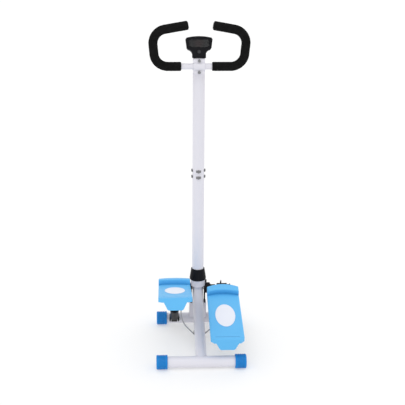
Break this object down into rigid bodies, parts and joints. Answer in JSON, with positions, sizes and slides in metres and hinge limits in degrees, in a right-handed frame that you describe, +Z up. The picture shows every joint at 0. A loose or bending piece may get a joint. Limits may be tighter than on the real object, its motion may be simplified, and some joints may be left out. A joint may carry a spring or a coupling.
{
  "type": "stepper",
  "caption": "Twin-pedal stepper: pivoting treads on dampers linked by a cable over a pulley, on a tubular base with a post, looped foam handlebar and display.",
  "frame": {"origin": "on the floor at the centre of the overall box, midway between the two crossbars, in the machine's middle plane", "axes": "+Z up, +Y from the user towards the post and display, +X to the user's right"},
  "size_m": [0.3656, 0.4211, 1.2138],
  "materials": {
    "white_paint": "gloss powder coat on steel tube, faint lavender white",
    "black_paint": "semi-gloss powder coat",
    "blue_cap": "moulded ribbed end cap, satin",
    "blue_deck": "moulded sky-blue plastic with a fine grain",
    "oval_white": "satin white plate",
    "zinc_steel": "bright zinc plate",
    "dark_zinc": "dull zinc plate",
    "black_screw": "black oxide",
    "black_plastic": "fine-grained moulding",
    "smoked_lens": "smoked clear window",
    "display_grey": "grey display panel",
    "button_grey": "soft button",
    "cable_steel": "clear-coated steel rope",
    "foam": "closed-cell foam sleeve",
    "pulley_nylon": "nylon sheave",
    "chrome_rod": "hard-chromed rod"
  },
  "bodies": {
    "frame": {"rear_crossbar": "white_paint", "front_crossbar": "white_paint", "main_tube": "white_paint", "front_upright": "white_paint", "pivot_cheeks": "black_paint", "pole_socket": "white_paint", "rear_left_cap": "blue_cap", "rear_right_cap": "blue_cap", "front_left_cap": "blue_cap", "front_right_cap": "blue_cap", "pivot_axle": "zinc_steel", "axle_nuts": "zinc_steel", "hub_spacers": "black_plastic", "damper_brackets": "black_paint", "damper_pins": "zinc_steel", "pulley_bracket": "black_paint", "pulley_bolt": "zinc_steel", "pole_collar": "black_plastic", "socket_bolt": "black_screw", "lower_pole": "white_paint", "pole_sleeve": "zinc_steel", "upper_pole": "white_paint", "joint_washers": "dark_zinc", "joint_screws": "dark_zinc", "bar_seat": "white_paint", "bar_saddle": "white_paint", "saddle_bolts": "dark_zinc", "monitor_back": "black_plastic", "monitor_front": "black_plastic", "monitor_lens": "smoked_lens", "display_panel": "display_grey", "battery_door": "black_plastic", "left_cable": "cable_steel", "right_cable": "cable_steel"},
    "handlebar": {"handlebar_tube": "white_paint", "left_grip": "foam", "right_grip": "foam", "handlebar_plugs": "black_plastic"},
    "left_pedal": {"left_pedal_arm": "black_paint", "left_pedal_shell": "blue_deck", "left_pedal_screws": "zinc_steel", "left_oval_plate": "oval_white", "left_hub_bushes": "black_plastic", "left_hub_stud": "zinc_steel", "left_rod_pin": "zinc_steel", "left_cable_ferrule": "zinc_steel"},
    "left_damper": {"left_damper": "black_paint"},
    "left_rod": {"left_damper_rod": "chrome_rod"},
    "right_pedal": {"right_pedal_arm": "black_paint", "right_pedal_shell": "blue_deck", "right_pedal_screws": "zinc_steel", "right_oval_plate": "oval_white", "right_hub_bushes": "black_plastic", "right_hub_stud": "zinc_steel", "right_rod_pin": "zinc_steel", "right_cable_ferrule": "zinc_steel"},
    "right_damper": {"right_damper": "black_paint"},
    "right_rod": {"right_damper_rod": "chrome_rod"},
    "pulley": {"cable_pulley": "pulley_nylon"},
    "button": {"monitor_button": "button_grey"}
  },
  "joints": [
    {"name": "left_pedal_hinge", "type": "hinge", "parent": "frame", "child": "left_pedal", "pos_m": [-0.0936, 0.17, 0.162], "axis": [1, 0, 0], "range_deg": [0, 24], "deforming": ["left_cable"]},
    {"name": "right_pedal_hinge", "type": "hinge", "parent": "frame", "child": "right_pedal", "pos_m": [0.0936, 0.17, 0.162], "axis": [1, 0, 0], "range_deg": [-24, 0], "deforming": ["right_cable"]},
    {"name": "left_damper_tilt", "type": "hinge", "parent": "frame", "child": "left_damper", "pos_m": [-0.0936, 0.14, 0.0425], "axis": [1, 0, 0], "range_deg": [0, 16.77]},
    {"name": "left_rod_slide", "type": "slide", "parent": "left_damper", "child": "left_rod", "axis": [0, -0.6732, 0.7394], "range_m": [-0.04691, 0]},
    {"name": "right_damper_tilt", "type": "hinge", "parent": "frame", "child": "right_damper", "pos_m": [0.0936, 0.14, 0.0425], "axis": [1, 0, 0], "range_deg": [-16.77, 0]},
    {"name": "right_rod_slide", "type": "slide", "parent": "right_damper", "child": "right_rod", "axis": [0, -0.8562, 0.5167], "range_m": [0, 0.04691]},
    {"name": "pulley_spin", "type": "hinge", "parent": "frame", "child": "pulley", "pos_m": [0, 0.034, 0.034], "axis": [0, 1, 0], "range_deg": [-205, 0]},
    {"name": "handlebar_tilt", "type": "hinge", "parent": "frame", "child": "handlebar", "pos_m": [0, 0.135, 1.0475], "axis": [1, 0, 0], "range_deg": [-15, 15]},
    {"name": "monitor_button_press", "type": "slide", "parent": "frame", "child": "button", "axis": [0, 0.9659, -0.2588], "range_m": [0, 0.0015], "stiffness_N_per_m": 400}
  ],
  "couplings": [
    {"joint": "right_pedal_hinge", "follows": "left_pedal_hinge", "ratio": -1},
    {"joint": "left_damper_tilt", "follows": "left_pedal_hinge", "ratio": 0.69047},
    {"joint": "left_rod_slide", "follows": "left_pedal_hinge", "m_per_rad": -0.11081},
    {"joint": "right_damper_tilt", "follows": "left_pedal_hinge", "ratio": -0.69047},
    {"joint": "right_rod_slide", "follows": "left_pedal_hinge", "m_per_rad": 0.11081},
    {"joint": "pulley_spin", "follows": "left_pedal_hinge", "ratio": -8.4052}
  ]
}
